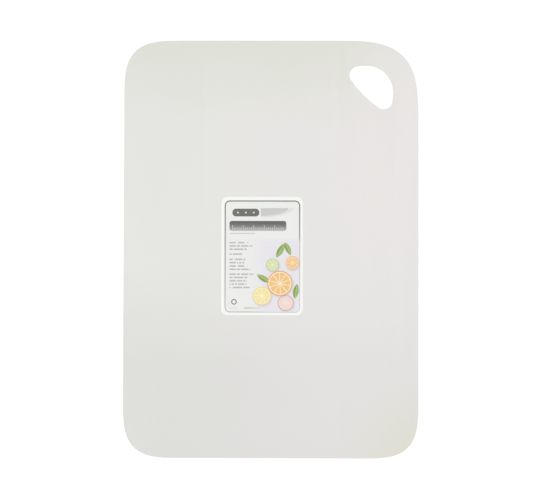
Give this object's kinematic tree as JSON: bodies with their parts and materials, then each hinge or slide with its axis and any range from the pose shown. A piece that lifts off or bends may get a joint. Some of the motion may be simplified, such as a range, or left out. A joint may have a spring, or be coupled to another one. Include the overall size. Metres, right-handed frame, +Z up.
{
  "type": "flexible cutting mat",
  "caption": "Thin flexible plastic cutting mat with rounded corners, a D-shaped finger hole in one corner and a film label; its sides bend up to form a pouring chute.",
  "frame": {"origin": "on the surface that the mat lies on, under the centre of the sheet", "axes": "+Y along the sheet's length towards the end with the finger hole, +X across it towards the side with the hole, +Z up out of the face with the label"},
  "size_m": [0.28, 0.397, 0.0011],
  "materials": {
    "sheet": "satin",
    "label": "satin"
  },
  "bodies": {
    "middle": {"sheet_middle": "sheet", "label_middle": "label"},
    "left_1": {"sheet_left_1": "sheet", "label_left_1": "label"},
    "left_2": {"sheet_left_2": "sheet", "label_left_2": "label"},
    "left_3": {"sheet_left_3": "sheet", "label_left_3": "label"},
    "left_4": {"sheet_left_4": "sheet", "label_left_4": "label"},
    "left_5": {"sheet_left_5": "sheet", "label_left_5": "label"},
    "left_6": {"sheet_left_6": "sheet"},
    "left_side": {"sheet_left_side": "sheet"},
    "right_1": {"sheet_right_1": "sheet", "label_right_1": "label"},
    "right_2": {"sheet_right_2": "sheet", "label_right_2": "label"},
    "right_3": {"sheet_right_3": "sheet", "label_right_3": "label"},
    "right_4": {"sheet_right_4": "sheet"},
    "right_5": {"sheet_right_5": "sheet"},
    "right_6": {"sheet_right_6": "sheet"},
    "right_side": {"sheet_right_side": "sheet"}
  },
  "joints": [
    {"name": "left_bend_1", "type": "hinge", "parent": "middle", "child": "left_1", "pos_m": [-0.00462, 0, 0.0005], "axis": [0, 1, 0], "range_deg": [0, 13], "stiffness_Nm_per_rad": 2.5},
    {"name": "left_bend_2", "type": "hinge", "parent": "left_1", "child": "left_2", "pos_m": [-0.01385, 0, 0.0005], "axis": [0, 1, 0], "range_deg": [0, 13], "stiffness_Nm_per_rad": 2.5},
    {"name": "left_bend_3", "type": "hinge", "parent": "left_2", "child": "left_3", "pos_m": [-0.02308, 0, 0.0005], "axis": [0, 1, 0], "range_deg": [0, 13], "stiffness_Nm_per_rad": 2.5},
    {"name": "left_bend_4", "type": "hinge", "parent": "left_3", "child": "left_4", "pos_m": [-0.03231, 0, 0.0005], "axis": [0, 1, 0], "range_deg": [0, 13], "stiffness_Nm_per_rad": 2.5},
    {"name": "left_bend_5", "type": "hinge", "parent": "left_4", "child": "left_5", "pos_m": [-0.04154, 0, 0.0005], "axis": [0, 1, 0], "range_deg": [0, 13], "stiffness_Nm_per_rad": 2.5},
    {"name": "left_bend_6", "type": "hinge", "parent": "left_5", "child": "left_6", "pos_m": [-0.05077, 0, 0.0005], "axis": [0, 1, 0], "range_deg": [0, 13], "stiffness_Nm_per_rad": 2.5},
    {"name": "left_bend_7", "type": "hinge", "parent": "left_6", "child": "left_side", "pos_m": [-0.06, 0, 0.0005], "axis": [0, 1, 0], "range_deg": [0, 13], "stiffness_Nm_per_rad": 2.5},
    {"name": "right_bend_1", "type": "hinge", "parent": "middle", "child": "right_1", "pos_m": [0.00462, 0, 0.0005], "axis": [0, -1, 0], "range_deg": [0, 13], "stiffness_Nm_per_rad": 2.5},
    {"name": "right_bend_2", "type": "hinge", "parent": "right_1", "child": "right_2", "pos_m": [0.01385, 0, 0.0005], "axis": [0, -1, 0], "range_deg": [0, 13], "stiffness_Nm_per_rad": 2.5},
    {"name": "right_bend_3", "type": "hinge", "parent": "right_2", "child": "right_3", "pos_m": [0.02308, 0, 0.0005], "axis": [0, -1, 0], "range_deg": [0, 13], "stiffness_Nm_per_rad": 2.5},
    {"name": "right_bend_4", "type": "hinge", "parent": "right_3", "child": "right_4", "pos_m": [0.03231, 0, 0.0005], "axis": [0, -1, 0], "range_deg": [0, 13], "stiffness_Nm_per_rad": 2.5},
    {"name": "right_bend_5", "type": "hinge", "parent": "right_4", "child": "right_5", "pos_m": [0.04154, 0, 0.0005], "axis": [0, -1, 0], "range_deg": [0, 13], "stiffness_Nm_per_rad": 2.5},
    {"name": "right_bend_6", "type": "hinge", "parent": "right_5", "child": "right_6", "pos_m": [0.05077, 0, 0.0005], "axis": [0, -1, 0], "range_deg": [0, 13], "stiffness_Nm_per_rad": 2.5},
    {"name": "right_bend_7", "type": "hinge", "parent": "right_6", "child": "right_side", "pos_m": [0.06, 0, 0.0005], "axis": [0, -1, 0], "range_deg": [0, 13], "stiffness_Nm_per_rad": 2.5}
  ],
  "couplings": [
    {"joint": "left_bend_2", "follows": "left_bend_1", "ratio": 1},
    {"joint": "left_bend_3", "follows": "left_bend_1", "ratio": 1},
    {"joint": "left_bend_4", "follows": "left_bend_1", "ratio": 1},
    {"joint": "left_bend_5", "follows": "left_bend_1", "ratio": 1},
    {"joint": "left_bend_6", "follows": "left_bend_1", "ratio": 1},
    {"joint": "left_bend_7", "follows": "left_bend_1", "ratio": 1},
    {"joint": "right_bend_2", "follows": "right_bend_1", "ratio": 1},
    {"joint": "right_bend_3", "follows": "right_bend_1", "ratio": 1},
    {"joint": "right_bend_4", "follows": "right_bend_1", "ratio": 1},
    {"joint": "right_bend_5", "follows": "right_bend_1", "ratio": 1},
    {"joint": "right_bend_6", "follows": "right_bend_1", "ratio": 1},
    {"joint": "right_bend_7", "follows": "right_bend_1", "ratio": 1}
  ]
}
